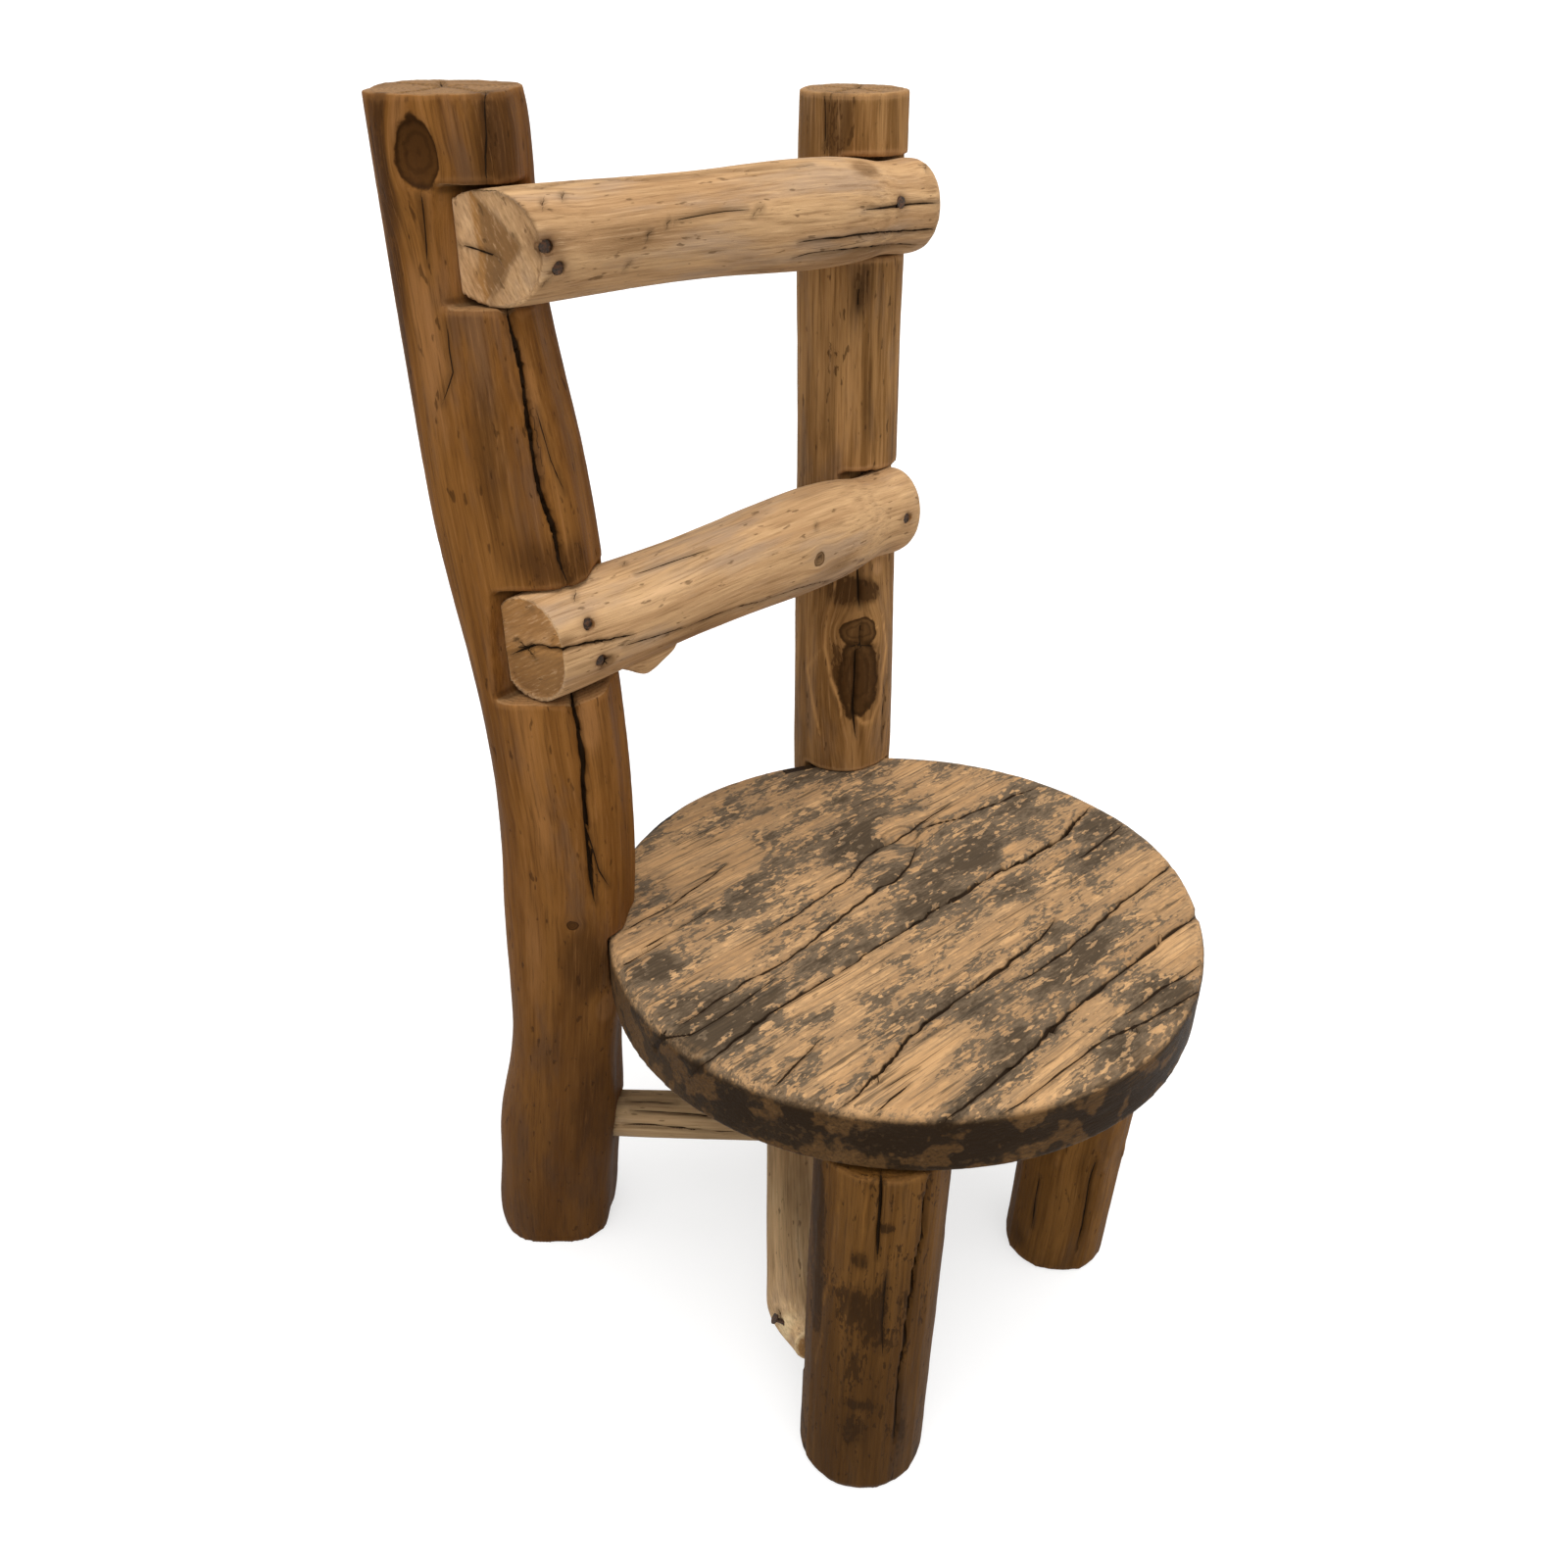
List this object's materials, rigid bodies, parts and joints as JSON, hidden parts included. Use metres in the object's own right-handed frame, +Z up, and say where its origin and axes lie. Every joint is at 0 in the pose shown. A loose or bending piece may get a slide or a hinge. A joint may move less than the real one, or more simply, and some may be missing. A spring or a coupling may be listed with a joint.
{
  "type": "log chair",
  "caption": "Rustic log chair with a thick round seat, notched back posts, lapped round back rails, short hewn front legs and crossing diagonal stretchers.",
  "frame": {"origin": "bottom centre of the chair's bounding box, on the floor", "axes": "+Z up, +X to the right of the chair seen from its front, +Y towards its back"},
  "size_m": [0.481, 0.5209, 0.953],
  "materials": {
    "post_wood": "weathered, hand-rubbed brown",
    "rail_wood": "worn pale brown",
    "seat_wood": "worn through to pale wood, dark in the hollows",
    "leg_wood": "hewn, dark brown",
    "stretcher_wood": "weathered grey-tan",
    "nail_iron": "dull and rusted",
    "wedge_wood": "sawn"
  },
  "bodies": {
    "root": {"left_back_post": "post_wood", "right_back_post": "post_wood", "upper_rail": "rail_wood", "lower_rail": "rail_wood", "seat_slab": "seat_wood", "front_left_leg": "leg_wood", "front_right_leg": "leg_wood", "left_diagonal_stretcher": "stretcher_wood", "right_diagonal_stretcher": "stretcher_wood", "upper_rail_nails": "nail_iron", "lower_rail_nails": "nail_iron", "stretcher_nails": "nail_iron", "seat_spikes": "nail_iron", "leg_tenon_wedges": "wedge_wood"}
  },
  "joints": []
}
